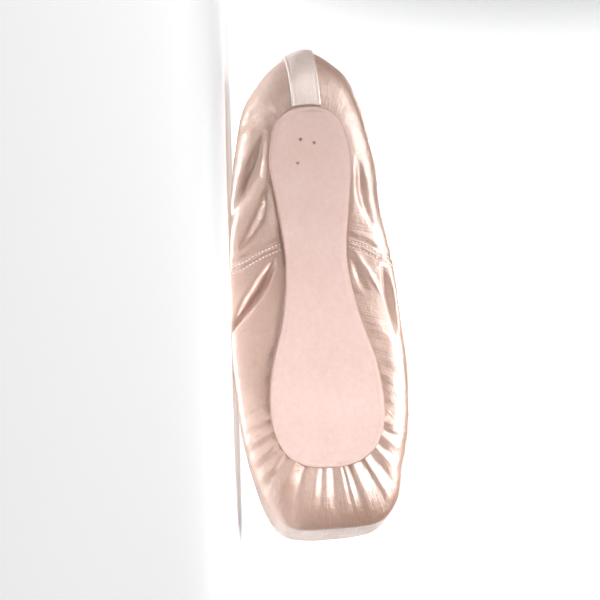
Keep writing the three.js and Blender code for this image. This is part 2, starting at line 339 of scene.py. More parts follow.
def pleat_height(t, s, points):
    bearing = np.degrees(np.arctan2(-points[..., 1], points[..., 0] - PLEAT_CENTRE))
    places, heights = np.array(list(PLEATS)), np.array(list(PLEATS.values()))
    blurred = [np.interp(bearing + k * PLEAT_SOFTNESS, places, heights) for k in (-1, -0.5, 0, 0.5, 1)]
    height = sum(blurred) / len(blurred)
    out = distance_from_sole(t, points)
    reach = PLEAT_REACH + 2.5 * mottle(bearing / 9, out * 0)
    start = smooth(out, 0, EDGE_ROLL) * (s >= 1)
    fade = np.clip(1 - out / reach, 0, 1) ** 1.2
    return PLEAT_RISE * height * start * fade * smooth(points[..., 0], *PLEATS_BEGIN)


# The side seams, where the vamp laps over the quarters: places t of the seam at places s
SEAM_S = [1, 1.25, 1.5, 2, 3, 3.25, 3.5, 3.75, 4]
SEAM_T = [5.57, 5.63, 5.73, 5.82, 5.87, 5.91, 6.03, 6.21, 6.45]
SEAM_ROWS = (1.3, 4.4)  # the two stitch rows, in mm ahead of the seam
SEAM_STEP = 0.45  # how far in mm the vamp stands above the quarters


def seam_place(s):
    return np.interp(s, SEAM_S, SEAM_T)


def mirrored(t):
    """Places folded onto the left side."""
    folded = np.mod(t, AROUND)
    return np.where(folded > LAST_ROW, AROUND - folded, folded)


def seam_distance(t, s, points):
    """Distance in mm ahead of the side seam."""
    here = seam_place(s)
    ahead = mirrored(t) - here
    gap = np.linalg.norm(rib_point(here + 0.1, s) - rib_point(here, s), axis=-1) * 10
    return ahead * gap


def seam_height(t, s, points):
    d = seam_distance(t, s, points)
    lap = SEAM_STEP * smooth(d, -0.5, 0.5) * (1 - smooth(d, 12, 40))
    gather = 0.45 * np.exp(-(((d + 3.5) / 2.2) ** 2))
    rows = sum(-0.28 * np.exp(-(((d - row) / 0.8) ** 2)) for row in SEAM_ROWS)
    between = np.exp(-(((d - sum(SEAM_ROWS) / 2) / 2.6) ** 2))
    pucker = 0.12 * mottle((np.abs(points[..., 1]) + points[..., 2]) / 1.1, d / 2.6) * between
    return (lap + gather + rows + pucker) * smooth(s, 0.98, 1.1)


def crinkle_height(t, s, points):
    """Fine gathers where the satin runs in under the edge of the outsole."""
    out = distance_from_sole(t, points)
    x, y = points[..., 0], points[..., 1]
    at_ball = smooth(x, 128, 150) * (1 - smooth(x, 196, 208))
    at_heel = (1 - smooth(x, 44, 70)) * smooth(y, -2, 4)
    near = smooth(out, 0, EDGE_ROLL) * (1 - smooth(out, 9, 17)) * (s >= 1)
    fine = 0.55 * mottle(x / 2.6 + y / 9, out / 8) + 0.3 * mottle(x / 1.5 + 7, out / 5 + y / 30)
    radial = np.degrees(np.arctan2(points[..., 1], 48 - x))
    tuck = 0.5 * mottle(radial / 7 + 3, out / 15) + 0.25 * mottle(radial / 3.4, out / 12)
    return near * (0.5 * at_ball * fine + 0.45 * at_heel * tuck)


def fold_height(t, s, points, normals, slack=0.0):
    """What all layers of the upper share: the listed creases and a slight unevenness of the cloth."""
    clear = smooth(distance_from_sole(t, points), *SOLE_CLEARANCE)
    height = sum(crease_height(points, normals, slack, **crease) for crease in CREASES.values()) * clear
    x, across = points[..., 0], points[..., 1] * 0.8 + points[..., 2]
    soft = 0.4 * mottle(x / 26, across / 15) + 0.16 * mottle(x / 11 + 9, across / 8)
    loose = 1 - 0.75 * smooth(x, 150, 195)
    return height + soft * loose * smooth(s, 1.0, 1.3)


def inner_height(t, s, points, normals):
    """The layers inside the satin bend round a crease more widely, and have no pleats."""
    return fold_height(t, s, points, normals, INNER_SLACK)


def satin_height(t, s, points, normals):
    return (fold_height(t, s, points, normals) + pleat_height(t, s, points) + seam_height(t, s, points)
            + crinkle_height(t, s, points))


def skin(t, s, offset, height):
    """The upper's cloth at a distance from the last, with the relief that the function height gives."""
    points, normals = rib_point(t, s), outward(t, s)
    relief = height(t, s, points, normals)
    return pressed(points + normals * (relief + offset)[..., None], offset)


# ---- meshes --------------------------------------------------------------------------------------

toe_way = np.array([1.0, 0, 0]) + FLOOR_NORMAL * -FLOOR_NORMAL[0]
toe_way /= np.linalg.norm(toe_way)
LAID = np.stack([toe_way, np.cross(-FLOOR_NORMAL, toe_way), -FLOOR_NORMAL])
CAD_RIBS = np.arange(0.125, AROUND, 0.25)  # where the CAD outsole has its ribs


def cad_outsole():
    edge = sole_edge(CAD_RIBS, 0, lambda x: sole_height(x) + SOLE_THICKNESS)
    bottom = sole_edge(CAD_RIBS, -0.6, sole_height)
    return np.concatenate([edge, bottom]) @ LAID.T


low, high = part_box("outsole")
own = cad_outsole()
SHIFT = (np.array(low) + np.array(high)) / 2 - (own.min(0) + own.max(0)) / 2000


def to_frame(points):
    return np.asarray(points) @ LAID.T / 1000 + SHIFT


def grid(s_list, t_list):
    s, t = np.meshgrid(np.asarray(s_list, float), np.asarray(t_list, float), indexing="ij")
    return t, s


def make_mesh(name, points, faces, uvs=None):
    mesh = bpy.data.meshes.new(name)
    mesh.from_pydata(to_frame(points).tolist(), [], faces)
    mesh.polygons.foreach_set("use_smooth", [True] * len(mesh.polygons))
    if uvs is not None:
        layer = mesh.uv_layers.new(name="UVMap")
        layer.data.foreach_set("uv", np.asarray(uvs, np.float32).ravel())
    mesh.update()
    piece = bpy.data.objects.new(name, mesh)
    bpy.context.scene.collection.objects.link(piece)
    return piece


def sheet_faces(rows, count, ring_rows, ring_count):
    """Quads between rows of points, closed on themselves where asked, as an array of corner numbers."""
    i = np.arange(rows if ring_rows else rows - 1)
    j = np.arange(count if ring_count else count - 1)
    i, j = (a.ravel() for a in np.meshgrid(i, j, indexing="ij"))
    up, on = (i + 1) % rows, (j + 1) % count
    corners = np.stack([i * count + j, up * count + j, up * count + on, i * count + on], -1)
    places = np.stack([np.stack([j, i], -1), np.stack([j, i + 1], -1), np.stack([j + 1, i + 1], -1),
                       np.stack([j + 1, i], -1)], 1)
    return corners, places


def make_ring(name, loops, flip=False):
    """A closed skin from closed loops, the last joined to the first. UVs run in metres."""
    loops = np.asarray(loops)
    rows, count = loops.shape[:2]
    corners, places = sheet_faces(rows, count, True, True)
    steps = np.linalg.norm(np.diff(loops[:, ::8], axis=0), axis=-1).mean(1)
    climb = np.concatenate([[0], np.cumsum(steps)])
    climb = np.append(climb, climb[-1] + 1) / 1000
    girth = loops[rows // 4]
    reach = np.cumsum(np.linalg.norm(np.roll(girth, -1, 0) - girth, axis=-1))
    reach = np.concatenate([[0], reach]) / 1000
    uv = np.stack([reach[places[..., 0]], climb[places[..., 1]]], -1)
    if flip:
        corners, uv = corners[:, ::-1], uv[:, ::-1]
    return make_mesh(name, loops.reshape(-1, 3), corners.tolist(), uv.reshape(-1, 2))


def place(piece, node, slot, material, replaces=True):
    piece.data.materials.append(material)
    if replaces:
        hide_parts(node)
    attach(piece, "root")
    return piece


def stitches(name, points, normals, length, radius, sink):
    """Joined capsules along points, one to each, each turned the way the next one lies."""
    ways = unit(np.roll(points, -1, 0) - points)
    ways[-1] = ways[-2]
    sides = unit(np.cross(normals, ways))
    ups = np.cross(ways, sides)
    sections, around = 7, 8
    along = np.cos(np.linspace(np.pi, 0, sections))
    girth = np.sqrt(np.maximum(1 - along**4, 0)) * 0.98 + 0.02
    angles = np.arange(around) * 2 * np.pi / around
    vertices, faces = [], []
    for n, centre in enumerate(points):
        start = n * sections * around
        base = centre + ups[n] * (radius - sink)
        for a, g in zip(along, girth):
            ring = base + ways[n] * (a * length / 2) - ups[n] * (0.55 * radius * abs(a) ** 3)
            for angle in angles:
                way_out = sides[n] * math.cos(angle) + ups[n] * math.sin(angle)
                vertices.append(ring + way_out * radius * g)
        for i in range(sections - 1):
            for j in range(around):
                k = (j + 1) % around
                row = start + i * around
                faces.append([row + j, row + k, row + around + k, row + around + j])
        faces.append([start + j for j in reversed(range(around))])
        faces.append([start + (sections - 1) * around + j for j in range(around)])
    return make_mesh(name, pressed(np.array(vertices), 0.0), faces)


def spread(points, normals, pitch):
    """Points and normals at an even pitch along a line of close points."""
    steps = np.concatenate([[0], np.cumsum(np.linalg.norm(np.diff(points, axis=0), axis=1))])
    wanted = np.arange(pitch / 2, steps[-1], pitch)
    pick = np.stack([np.interp(wanted, steps, points[:, k]) for k in range(3)], -1)
    face = unit(np.stack([np.interp(wanted, steps, normals[:, k]) for k in range(3)], -1))
    return pick, face


# ---- materials -----------------------------------------------------------------------------------


class Finish:
    """A material's node tree, written as short calls."""

    def __init__(self, name):
        self.material = bpy.data.materials.new(name)
        self.material.use_nodes = True
        self.tree = self.material.node_tree
        self.shader = self.tree.nodes["Principled BSDF"]
        self.uv = self.node("ShaderNodeTexCoord").outputs["UV"]
        self.object = self.node("ShaderNodeTexCoord").outputs["Object"]

    def node(self, kind, **settings):
        made = self.tree.nodes.new(kind)
        for key, value in settings.items():
            setattr(made, key, value)
        return made

    def link(self, source, target):
        self.tree.links.new(source, target)

    def scaled(self, source, scale):
        mapping = self.node("ShaderNodeMapping")
        mapping.inputs["Scale"].default_value = scale
        self.link(source, mapping.inputs["Vector"])
        return mapping.outputs["Vector"]

    def noise(self, source, scale, detail=3.0, roughness=0.5, stretch=(1, 1, 1)):
        texture = self.node("ShaderNodeTexNoise")
        texture.inputs["Scale"].default_value = scale
        texture.inputs["Detail"].default_value = detail
        texture.inputs["Roughness"].default_value = roughness
        self.link(self.scaled(source, stretch), texture.inputs["Vector"])
        return texture.outputs["Fac"]

    def wave(self, source, period, direction, distortion=0.0):
        """Ridges of one period in metres, across U ("X") or V ("Y")."""
        texture = self.node("ShaderNodeTexWave", wave_type="BANDS", bands_direction=direction)
        texture.inputs["Scale"].default_value = 2 * math.pi / 20 / period
        texture.inputs["Distortion"].default_value = distortion
        self.link(source, texture.inputs["Vector"])
        return texture.outputs["Fac"]

    def ramp(self, source, *stops):
        """Stops are (position, colour)."""
        made = self.node("ShaderNodeValToRGB")
        elements = made.color_ramp.elements
        for k, (position, colour) in enumerate(stops):
            element = elements[k] if k < 2 else elements.new(position)
            element.position = position
            element.color = (*colour, 1)
        self.link(source, made.inputs["Fac"])
        return made.outputs["Color"]

    def mix(self, amount, first, second, blend="MIX"):
        made = self.node("ShaderNodeMix", data_type="RGBA", blend_type=blend)
        for value, number in ((amount, 0), (first, 6), (second, 7)):
            socket = made.inputs[number]
            if isinstance(value, bpy.types.NodeSocket):
                self.link(value, socket)
            else:
                socket.default_value = value if isinstance(value, float) else (*value, 1)
        return made.outputs[2]

    def span(self, source, low, high):
        """A factor from 0 to 1 stretched from low to high."""
        made = self.node("ShaderNodeMapRange")
        made.inputs["To Min"].default_value = low
        made.inputs["To Max"].default_value = high
        self.link(source, made.inputs["Value"])
        return made.outputs["Result"]

    def bump(self, height, distance, strength, under=None):
        made = self.node("ShaderNodeBump")
        made.inputs["Distance"].default_value = distance
        made.inputs["Strength"].default_value = strength
        self.link(height, made.inputs["Height"])
        if under is not None:
            self.link(under, made.inputs["Normal"])
        return made.outputs["Normal"]

    def near(self, spot, radius):
        """1 at a point of the frame, in metres, fading to 0 at radius."""
        away = self.node("ShaderNodeVectorMath", operation="DISTANCE")
        self.link(self.object, away.inputs[0])
        away.inputs[1].default_value = spot
        made = self.node("ShaderNodeMapRange", interpolation_type="SMOOTHSTEP")
        made.inputs["From Min"].default_value = radius
        made.inputs["From Max"].default_value = 0.0
        self.link(away.outputs["Value"], made.inputs["Value"])
        return made.outputs["Result"]

    def set(self, **values):
        """Values on the shader's own sockets, by name with _ for a space."""
        for key, value in values.items():
            socket = self.shader.inputs[key.replace("_", " ")]
            if isinstance(value, bpy.types.NodeSocket):
                self.link(value, socket)
            else:
                socket.default_value = value if isinstance(value, float) else (*value, 1)


def satin_finish(name, pale, deep, gloss=0.43):
    """Satin: long floats that shine across the weave, faint slubs and a slightly uneven dye."""
    f = Finish(name)
    cloud = f.noise(f.object, 22, 3)
    slub = f.noise(f.uv, 900, 2, stretch=(0.06, 1, 1))
    colour = f.ramp(cloud, (0.3, deep), (0.7, pale))
    colour = f.mix(0.15, colour, f.ramp(slub, (0.35, deep), (0.65, pale)))
    weft = f.wave(f.uv, 0.00042, "X")
    warp = f.wave(f.uv, 0.0003, "Y")
    thread = f.bump(f.mix(0.5, weft, warp), 0.00004, 0.35)
    crumple = f.noise(f.object, 170, 4, 0.6)
    pull = f.noise(f.uv, 160, 3, stretch=(1, 0.2, 1))
    streak = f.noise(f.uv, 1100, 3, stretch=(1, 0.05, 1))
    normal = f.bump(slub, 0.00006, 0.35, thread)
    normal = f.bump(streak, 0.00028, 0.6, normal)
    normal = f.bump(pull, 0.0009, 0.5, normal)
    normal = f.bump(crumple, 0.0010, 0.6, normal)
    tangent = f.node("ShaderNodeTangent", direction_type="UV_MAP")
    f.link(tangent.outputs["Tangent"], f.shader.inputs["Tangent"])
    f.set(Base_Color=colour, Roughness=f.span(cloud, gloss - 0.05, gloss + 0.06), Normal=normal)
    f.set(Anisotropic=0.5, IOR=2.2, Metallic=0.15, Specular_IOR_Level=1.0)
    f.set(Sheen_Weight=1.0, Sheen_Roughness=0.35, Sheen_Tint=(1.0, 0.93, 0.9))
    return f.material


def leather_finish(name, holes, rubbed):
    """Buffed leather: pores, a cloudy dye, a rim darkened as painted shade of the gap under the satin with
    some burnish of the cut edge, a rubbed patch at the heel and tack holes with painted shade inside.
    """
    f = Finish(name)
    cloud = f.noise(f.object, 30, 5, 0.6)
    pores = f.noise(f.object, 1500, 3, 0.6)
    fibre = f.noise(f.object, 420, 4, 0.65)
    colour = f.ramp(cloud, (0.28, (0.685, 0.48, 0.43)), (0.72, (0.74, 0.56, 0.515)))
    colour = f.mix(0.22, colour, f.ramp(fibre, (0.35, (0.77, 0.53, 0.44)), (0.65, (0.92, 0.72, 0.64))))
    rub = f.near(rubbed, 0.021)
    rub = f.mix(1.0, rub, f.noise(f.object, 260, 4, 0.7), "MULTIPLY")
    colour = f.mix(rub, colour, (0.72, 0.50, 0.43))
    # a darker ring round each tack hole, and a near-black centre that is painted shade inside the hole
    for spot in holes:
        colour = f.mix(f.near(spot, 0.0019), colour, (0.62, 0.38, 0.31))
        colour = f.mix(f.near(spot, 0.00095), colour, (0.10, 0.045, 0.03))
    # painted shade: the outsole's rim is darkened to dark brown, mostly standing for the shade in the gap
    # where the satin runs in under the sole, partly a burnished cut edge
    edge_shade_and_burnish = f.node("ShaderNodeAttribute", attribute_name="edge_shade_and_burnish").outputs["Fac"]
    edge_shade_and_burnish = f.mix(1.0, edge_shade_and_burnish, f.span(fibre, 0.5, 1.0), "MULTIPLY")
    colour = f.mix(edge_shade_and_burnish, colour, (0.40, 0.20, 0.14))
    normal = f.bump(pores, 0.00008, 0.6)
    normal = f.bump(fibre, 0.00022, 0.45, normal)
    normal = f.bump(cloud, 0.0006, 0.35, normal)
    f.set(Base_Color=colour, Roughness=f.span(fibre, 0.5, 0.72), Normal=normal)
    f.set(Specular_IOR_Level=0.38, Sheen_Weight=0.12)
    return f.material


def cloth_finish(name, pale, deep, period):
    """Plain-woven cotton, for lining and sock, with threads a period apart in metres."""
    f = Finish(name)
    cloud = f.noise(f.object, 35, 4)
    weft = f.wave(f.uv, period, "X", 0.4)
    warp = f.wave(f.uv, period, "Y", 0.4)
    weave = f.mix(0.5, weft, warp)
    dye = f.ramp(cloud, (0.3, deep), (0.7, pale))
    colour = f.mix(0.3, dye, f.ramp(weave, (0.2, deep), (0.8, pale)))
    fuzz = f.noise(f.object, 900, 3, 0.6)
    normal = f.bump(fuzz, 0.00008, 0.4, f.bump(weave, period / 4, 0.6))
    f.set(Base_Color=colour, Roughness=f.span(fuzz, 0.72, 0.92), Normal=normal)
    f.set(Specular_IOR_Level=0.25, Sheen_Weight=0.2)
    return f.material


def thread_finish(name, pale, deep):
    """Twisted sewing thread."""
    f = Finish(name)
    twist = f.noise(f.object, 2600, 2)
    colour = f.ramp(twist, (0.35, deep), (0.65, pale))
    f.set(Base_Color=colour, Roughness=0.45, Specular_IOR_Level=0.6, Sheen_Weight=0.2,
          Normal=f.bump(twist, 0.0001, 0.5))
    return f.material


# ---- pieces --------------------------------------------------------------------------------------

def run(*stretches):
    """Places from one to the next, for stretches (from, to, count) that follow one another."""
    places = [np.linspace(*stretches[0])]
    places += [np.linspace(*stretch)[1:] for stretch in stretches[1:]]
    return np.concatenate(places)


def both_sides(left):
    """Places all round the shoe from those of the left side, which run from 0 to LAST_ROW."""
    return np.concatenate([left, AROUND - left[-2:0:-1]])


FINE_RIBS = both_sides(run(
    (0, 3, 38), (3, 5.4, 56), (5.4, 7.3, 111), (7.3, 9.5, 44), (9.5, LAST_ROW, 98)))
EDGE_STEPS = 1 + np.array([0, 0.0012, 0.0028, 0.005, 0.009, 0.014, 0.021, 0.03, 0.042, 0.06])
SATIN_DEPTH = 0.7  # mm, the satin and its canvas
LINING_BEGINS = 0.9  # mm

satin = satin_finish("satin", (0.645, 0.40, 0.305), (0.44, 0.237, 0.155))
tape_satin = satin_finish("tape_satin", (0.87, 0.70, 0.62), (0.82, 0.63, 0.545), 0.42)
binding_cloth = satin_finish("binding_satin", (0.87, 0.70, 0.62), (0.80, 0.61, 0.53), 0.46)
lining_cloth = cloth_finish("lining_cotton", (0.86, 0.79, 0.70), (0.76, 0.68, 0.58), 0.0009)
sock_cloth = cloth_finish("sock_cotton", (0.84, 0.77, 0.68), (0.70, 0.61, 0.51), 0.0007)
thread = thread_finish("thread", (0.95, 0.82, 0.76), (0.84, 0.66, 0.58))


def make_satin():
    up = run((EDGE_STEPS[-1], 2, 56), (2, 3, 22), (3, 4, 36))[1:]
    t, s = grid(np.concatenate([[0, 0.5, 0.9], EDGE_STEPS, up]), FINE_RIBS)
    outside = skin(t, s, np.zeros_like(t), satin_height)
    down = [4, 3.7, 3.3, 3, 2.5, 2.2, 2, 1.9, 1.8, 1.7, 1.6, 1.5, 1.4, 1.3, 1.2, 1.1, 1, 0]
    t, s = grid(down, FINE_RIBS)
    inside = skin(t, s, np.full_like(t, -SATIN_DEPTH), inner_height)
    piece = make_ring("upper_satin", np.concatenate([outside, inside]), flip=True)
    return place(piece, "upper", "satin", satin)


def make_lining():
    steps = np.concatenate([[0, 0.5], run((1, 2, 26), (2, 3, 9), (3, 4, 14))])
    t, s = grid(steps, FINE_RIBS)
    outside = skin(t, s, np.full_like(t, -LINING_BEGINS), inner_height)
    t, s = grid(steps[::-1], FINE_RIBS)
    inside = skin(t, s, -wall_at(rib_point(t, s)[..., 0]), inner_height)
    piece = make_ring("upper_lining", np.concatenate([outside, inside]), flip=True)
    return place(piece, "upper", "satin", lining_cloth)


TACKS = ((48, 4.6), (50, -2.4), (60, 6.8))  # tack holes near the heel: forward and to the left
RUBBED = (53, 3, 0)  # the middle of the rubbed patch


RIM_PROFILE = ((0.1, SOLE_THICKNESS), (0.5, 1.5), (0.5, 0.8), (0.32, 0.34), (-0.02, 0.08), (-0.5, 0.0),
               (-2.2, 0.0))  # outward and up, in mm, from the outsole's edge


def rows_across(loop, across):
    """Rows of points between the left and the right half of a loop."""
    half = len(loop) // 2 + 1
    lefts, rights = loop[:half], loop[(-np.arange(half)) % len(loop)]
    share = np.linspace(0, 1, across + 2)[1:-1]
    return lefts[None] + (rights - lefts)[None] * share[:, None, None]


def make_slab(name, rim, field, flip):
    """A slab: the loops of its rim, a field of rows inside the last loop and a lid on the first."""
    rows, count = rim.shape[:2]
    across, half = field.shape[:2]
    inner = (rows - 1) * count
    start = rows * count
    points = np.concatenate([rim.reshape(-1, 3), field[:, 1:-1].reshape(-1, 3)])
    faces = sheet_faces(rows, count, False, True)[0].tolist()

    def at(i, j):
        """Point i of row j across the field, from the left rim, 0, to the right rim, across + 1."""
        if i == 0 or j in (0, half - 1):
            return inner + j
        if i == across + 1:
            return inner + (-j) % count
        return start + (i - 1) * (half - 2) + j - 1

    def add(quad, turned=False):
        corners = list(dict.fromkeys(quad))
        if len(corners) > 2:
            faces.append(corners[::-1] if turned else corners)

    for j in range(half - 1):
        for i in range(across + 1):
            add([at(i, j), at(i + 1, j), at(i + 1, j + 1), at(i, j + 1)])
    for j in range(half - 1):
        add([j, j + 1, -(j + 1) % count, -j % count], turned=True)
    if flip:
        faces = [face[::-1] for face in faces]
    return make_mesh(name, points, faces), points


def set_uvs(piece, flat):
    """UVs in metres from one flat place in millimetres for each of the piece's points."""
    layer = piece.data.uv_layers.new(name="UVMap")
    order = np.zeros(len(piece.data.loops), int)
    piece.data.loops.foreach_get("vertex_index", order)
    layer.data.foreach_set("uv", (flat / 1000)[order].astype(np.float32).ravel())


def make_outsole(material):
    # cross rows closer together at the ends and round the tack holes
    ring = both_sides(run((0, 1, 40), (1, 3, 34), (3, 4.1, 110), (4.1, 11, 230), (11, LAST_ROW, 80)))
    edge = sole_edge(ring, 0, sole_height)
    way_out = unit(sole_edge(ring, 1, sole_height) - edge)
    wobble = 0.10 * mottle(ring * 3.1, ring * 0)
    loops = []
    for grow, up in RIM_PROFILE:
        loop = sole_edge(ring, grow, lambda x: sole_height(x) + up)
        loops.append(loop + way_out * wobble[:, None] if grow > -1 else loop)
    rim = np.array(loops)
    field = rows_across(rim[-1], 108)
    x, y = field[..., 0], field[..., 1]
    dent = 0.10 * mottle(x / 30, y / 18) + 0.05 * mottle(x / 9, y / 9 + 5)
    for tack_x, tack_y in TACKS:
        away = np.hypot(x - tack_x, y - tack_y)
        dent = dent - 0.10 * np.exp(-((away / 1.4) ** 2)) + 0.95 * (1 - smooth(away, 0.3, 0.75))
    field[..., 2] = sole_height(x) + np.maximum(dent, -0.2)
    piece, points = make_slab("outsole_leather", rim, field, flip=False)
    # painted shade on the outsole's rim: full on its side wall, weaker on the edge of its bottom face, with
    # some burnish of the cut edge
    edge_shade_and_burnish = np.zeros(len(points), np.float32)
    edge_shade_and_burnish[:4 * len(ring)] = 1.0
    edge_shade_and_burnish[4 * len(ring):5 * len(ring)] = 0.4
    piece.data.attributes.new("edge_shade_and_burnish", "FLOAT", "POINT").data.foreach_set("value", edge_shade_and_burnish)
    return place(piece, "outsole", "sole_leather", material)


def make_sock():
    """The insole with its sock: its top faintly uneven, its edge turned down."""
    def raised(up):
        return lambda x: seat_height(x) + wall_at(x) + GAP + up

    ring = np.arange(0, AROUND, 1 / 14)
    profile = [(-0.25, 0.0), (0.0, 0.35), (-0.05, 0.85), (-0.65, 1.15), (-1.65, INSOLE_THICKNESS)]
    rim = np.array([sole_edge(ring, INSOLE_OVERHANG + grow, raised(up)) for grow, up in profile])
    field = rows_across(rim[-1], 24)
    field[..., 2] += 0.18 * mottle(field[..., 0] / 20, field[..., 1] / 11)
    piece, points = make_slab("sock_lining", rim, field, flip=True)
    set_uvs(piece, points[:, :2])
    return place(piece, "insole", "sock_lining", sock_cloth)


def places_across(s, y):
    """Places round the heel where the last is y to the left of the middle, for arrays s and y."""
    low = np.full(s.shape, -3.0)
    high = np.full(s.shape, 3.0)
    for _ in range(30):
        middle = (low + high) / 2
        left_of = rib_point(middle, s)[..., 1] < y
        low = np.where(left_of, middle, low)
        high = np.where(left_of, high, middle)
    return low


TAPE_HEM = 1.2  # mm, the finely divided edge
TAPE_ROW = 1.7  # mm from the edge to the row of stitches
TAPE_STEP_LENGTH = 22  # mm of tape between two whole s, for its weave

SEAM_PITCH, BINDING_PITCH = 1.9, 2.3  # mm from stitch to stitch
SEAM_STITCH = (1.5, 0.34, 0.16)  # length, radius and depth it sinks in, in mm
TAPE_STITCH = (1.3, 0.19, 0.1)
BINDING_STITCH = (1.6, 0.19, 0.1)


def tape_skin(s, y, offset):
    """Points of the back-seam tape, y from its middle and offset from the last, and their normals."""
    t = places_across(s, y + TAPE_DRIFT * smooth(s, 1, 3))
    points, normals = rib_point(t, s), outward(t, s)
    return points + normals * offset[..., None], normals


def make_tape():
    steps = run((TAPE_START, 2, 60), (2, 3, 24), (3, 4, 40))
    half = TAPE_WIDTH / 2
    flank = half - TAPE_HEM
    y_over = run((-half, -flank, 8), (-flank, flank, 26), (flank, half, 8))
    y_under = y_over[::-1]
    s, y = np.meshgrid(steps, y_over, indexing="ij")
    edge = half - np.abs(y)
    fold = np.sqrt(np.clip(edge / 0.45, 0, 1)) * 0.5 + 0.5
    bead = 0.22 * np.exp(-(((edge - 0.75) / 0.5) ** 2))
    bead = bead - 0.16 * np.exp(-(((edge - TAPE_ROW) / 0.35) ** 2))
    wave = 0.10 * mottle(s * 5.2, y / 5) + 0.05 * mottle(s * 14, y / 3 + 4)
    over, _ = tape_skin(s, y, GAP + TAPE_THICKNESS * fold + bead + wave)
    s, y = np.meshgrid(steps, y_under, indexing="ij")
    under, _ = tape_skin(s, y, np.full_like(s, GAP))
    loops = np.concatenate([over, under], axis=1)
    rows, count = loops.shape[:2]
    corners, places = sheet_faces(rows, count, False, True)
    faces = [list(c) for c in corners]
    faces.append(list(range(count))[::-1])
    faces.append(list(range((rows - 1) * count, rows * count)))
    piece = make_mesh("heel_tape_satin", loops.reshape(-1, 3), faces)
    across = np.tile(np.concatenate([y_over, y_under]), rows)
    set_uvs(piece, np.stack([across, np.repeat(steps * TAPE_STEP_LENGTH, count)], -1))
    return place(piece, "heel_tape", "tape", tape_satin)


def make_binding():
    """The folded casing over the topline: out and inner are its two faces, offset from the last."""
    ring = np.arange(0, AROUND, 1 / 24)
    out, inner = 0.3, -2.3
    angles = np.linspace(0, np.pi, 9)
    middle, half = (out + inner) / 2, (out - inner) / 2
    top = BINDING_HEIGHT - 1.4
    profile = [(GAP, out), (0.9, out + 0.05), (1.5, out - 0.12), (2.1, out + 0.05), (top, out)]
    profile += [(top + 1.4 * math.sin(a), middle + half * math.cos(a)) for a in angles[1:-1]]
    profile += [(top, inner), (1.8, inner), (GAP, inner)]
    t, s = grid([4.0], ring)
    base, normals = rib_point(t, s)[0], outward(t, s)[0]
    along = unit(base - rib_point(t, s - 0.1)[0])
    length = np.concatenate([[0], np.cumsum(np.linalg.norm(np.diff(base, axis=0), axis=1))])
    pucker = 0.10 * np.sin(length * 2 * np.pi / 3.1) + 0.12 * mottle(length / 2.3, length * 0)
    loops = []
    for up, off in profile:
        share = smooth(up, GAP, 2.4)
        lift = 0.14 * share * mottle(length / 5 + 3, length * 0)
        offset = off + np.sign(off - middle) * pucker * share
        loops.append(pressed(base + normals * offset[:, None] + along * (up + lift)[:, None], offset))
    piece = make_ring("collar_binding_satin", np.array(loops))
    return place(piece, "collar_binding", "binding", binding_cloth)


def seam_stitches():
    for side, name in ((1, "left"), (-1, "right")):
        for row, ahead in enumerate(SEAM_ROWS):
            s = np.linspace(1.03, 3.97, 260)
            here = seam_place(s)
            gap = np.linalg.norm(rib_point(here + 0.1, s) - rib_point(here, s), axis=-1) * 10
            t = here + ahead / gap
            t = t if side > 0 else AROUND - t
            points = skin(t, s, np.zeros_like(s), satin_height)
            picked, facing = spread(points, outward(t, s), SEAM_PITCH)
            piece = stitches(f"side_seam_thread_{name}_{row + 1}", picked, facing, *SEAM_STITCH)
            place(piece, "upper", "satin", thread, replaces=False)


def tape_stitches():
    for side in (-1, 1):
        s = np.linspace(TAPE_START + 0.03, 3.97, 240)
        y = np.full_like(s, side * (TAPE_WIDTH / 2 - TAPE_ROW))
        points, normals = tape_skin(s, y, np.full_like(s, GAP + TAPE_THICKNESS - 0.12))
        picked, facing = spread(points, normals, SEAM_PITCH)
        name = "left" if side > 0 else "right"
        piece = stitches(f"tape_thread_{name}", picked, facing, *TAPE_STITCH)
        place(piece, "heel_tape", "tape", thread, replaces=False)


def binding_stitches():
    t = np.arange(0, AROUND, 1 / 20)
    s = np.full_like(t, 4.0)
    base, normals = rib_point(t, s), outward(t, s)
    along = unit(base - rib_point(t, s - 0.1))
    points = pressed(base + normals * 0.24 + along * 1.5, np.zeros_like(t))
    closed = [np.concatenate([row, row[:1]]) for row in (points, normals)]
    picked, facing = spread(*closed, BINDING_PITCH)
    piece = stitches("binding_thread", picked, facing, *BINDING_STITCH)
    place(piece, "collar_binding", "binding", thread, replaces=False)


make_satin()
make_lining()
holes = [tuple(to_frame([x, y, sole_height(np.array(x))])) for x, y in TACKS]
make_outsole(leather_finish("sole_leather", holes, tuple(to_frame(RUBBED))))
make_sock()
make_tape()
make_binding()
seam_stitches()
tape_stitches()
binding_stitches()


# ---- floor, light and camera ---------------------------------------------------------------------


